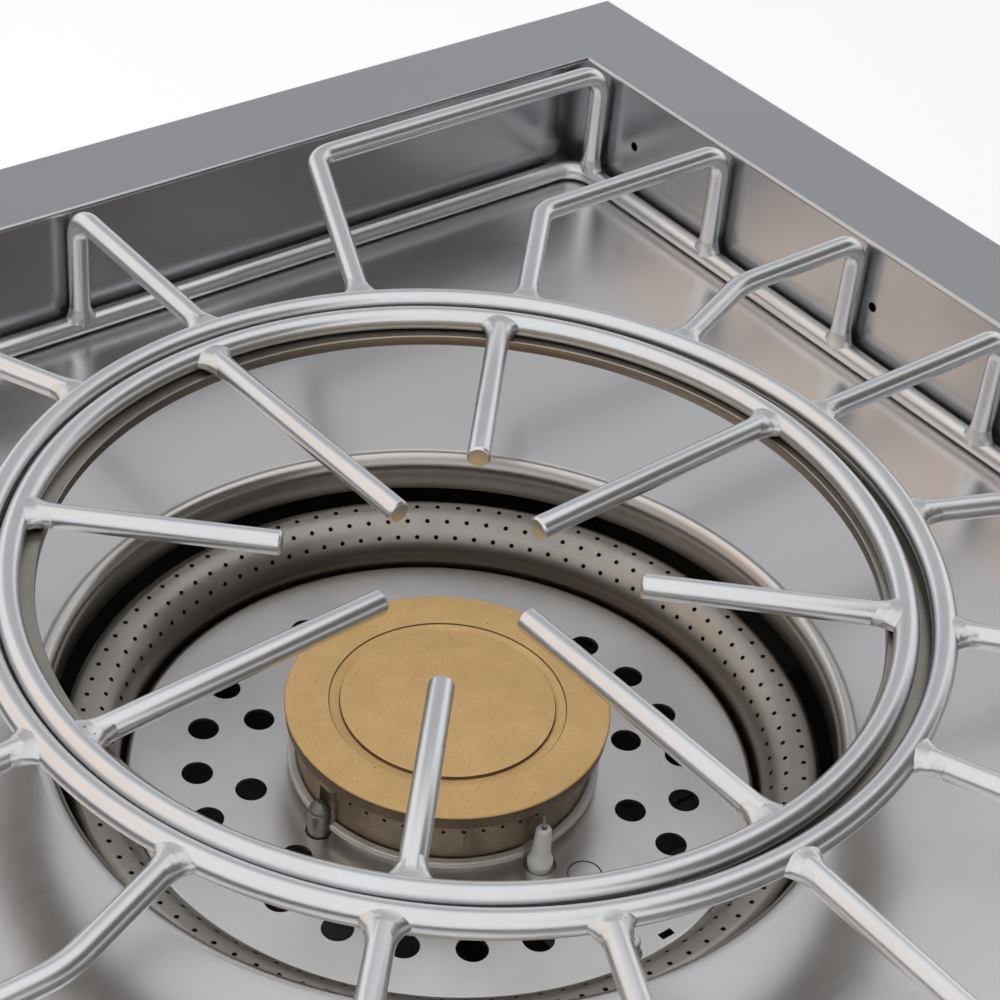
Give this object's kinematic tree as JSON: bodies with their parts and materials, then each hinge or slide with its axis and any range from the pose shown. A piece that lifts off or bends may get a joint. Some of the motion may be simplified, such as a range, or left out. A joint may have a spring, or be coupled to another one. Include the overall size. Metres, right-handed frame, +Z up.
{
  "type": "built in side burner",
  "caption": "Drop-in outdoor kitchen side burner: stainless counter frame, deep well, round bar grate with lift-out insert ring, ring burner round a brass centre burner, and two control knobs.",
  "frame": {"origin": "middle of the cabinet's footprint, on the underside of its feet, centred on the overall width and depth", "axes": "+X to the right, +Y to the back, away from the knobs, +Z up"},
  "size_m": [0.594, 0.678, 0.2554],
  "materials": {
    "stainless_sheet": "brushed, satin",
    "inner_steel": "mill finish",
    "stainless_bar": "polished round bar with bright welds",
    "burner_steel": "matte, slightly heat toned",
    "plate_steel": "light satin",
    "cast_brass": "sand cast, matte",
    "turned_brass": "machined",
    "grey_casting": "fine cast",
    "valve_alloy": "die cast",
    "ceramic": "white glazed ceramic",
    "bright_steel": "bright",
    "black_moulding": "moulded",
    "knob_metal": "satin plated",
    "gas_pipe": "zinc coated"
  },
  "bodies": {
    "cabinet": {"top_frame": "stainless_sheet", "drip_pan": "stainless_sheet", "left_side_panel": "inner_steel", "right_side_panel": "inner_steel", "back_panel": "inner_steel", "bottom_panel": "inner_steel", "heat_shield": "inner_steel", "burner_bridge": "inner_steel", "ring_burner_feet": "inner_steel", "manifold_brackets": "inner_steel", "control_panel": "stainless_sheet", "ring_burner_cover": "burner_steel", "ring_burner_channel": "burner_steel", "ring_burner_tube": "burner_steel", "centre_burner_tube": "burner_steel", "burner_plate": "plate_steel", "burner_drum": "cast_brass", "left_orifice": "turned_brass", "right_orifice": "turned_brass", "burner_casting": "grey_casting", "burner_seat": "grey_casting", "left_valve": "valve_alloy", "right_valve": "valve_alloy", "centre_electrode": "ceramic", "ring_electrode": "ceramic", "electrode_wires": "bright_steel", "sensor_pin": "bright_steel", "bridge_screws": "bright_steel", "left_igniter": "black_moulding", "right_igniter": "black_moulding", "left_bezel": "knob_metal", "right_bezel": "knob_metal", "manifold_pipe": "gas_pipe", "inlet_fitting": "gas_pipe"},
    "grate": {"base_loop": "stainless_bar", "outer_ring": "stainless_bar", "bar_ring": "stainless_bar", "cross_arms": "stainless_bar", "side_arms": "stainless_bar", "diagonal_arms": "stainless_bar", "corner_arms": "stainless_bar"},
    "insert": {"insert_ring": "stainless_bar", "long_fingers": "stainless_bar", "short_fingers": "stainless_bar"},
    "cap": {"brass_cap": "cast_brass"},
    "left_push": {"left_spring_seat": "bright_steel"},
    "left_control": {"left_stem": "bright_steel", "left_knob": "knob_metal"},
    "right_push": {"right_spring_seat": "bright_steel"},
    "right_control": {"right_stem": "bright_steel", "right_knob": "knob_metal"},
    "left_shutter": {"left_air_shutter": "burner_steel"},
    "right_shutter": {"right_air_shutter": "burner_steel"}
  },
  "joints": [
    {"name": "grate_lift", "type": "slide", "parent": "cabinet", "child": "grate", "axis": [0, 0, 1], "range_m": [0, 0.12]},
    {"name": "insert_lift", "type": "slide", "parent": "grate", "child": "insert", "axis": [0, 0, 1], "range_m": [0, 0.1]},
    {"name": "cap_lift", "type": "slide", "parent": "cabinet", "child": "cap", "axis": [0, 0, 1], "range_m": [0, 0.03]},
    {"name": "left_knob_push", "type": "slide", "parent": "cabinet", "child": "left_push", "axis": [0, 1, 0], "range_m": [0, 0.0035], "stiffness_N_per_m": 900, "springref_m": -0.003},
    {"name": "left_knob_turn", "type": "hinge", "parent": "left_push", "child": "left_control", "pos_m": [-0.08, -0.317, 0.112], "axis": [0, -1, 0], "range_deg": [0, 210]},
    {"name": "left_shutter_turn", "type": "hinge", "parent": "cabinet", "child": "left_shutter", "pos_m": [-0.08, -0.217, 0.112], "axis": [0, 1, 0], "range_deg": [0, 60]},
    {"name": "right_knob_push", "type": "slide", "parent": "cabinet", "child": "right_push", "axis": [0, 1, 0], "range_m": [0, 0.0035], "stiffness_N_per_m": 900, "springref_m": -0.003},
    {"name": "right_knob_turn", "type": "hinge", "parent": "right_push", "child": "right_control", "pos_m": [0.08, -0.317, 0.112], "axis": [0, -1, 0], "range_deg": [0, 210]},
    {"name": "right_shutter_turn", "type": "hinge", "parent": "cabinet", "child": "right_shutter", "pos_m": [0.08, -0.217, 0.112], "axis": [0, 1, 0], "range_deg": [0, 60]}
  ]
}
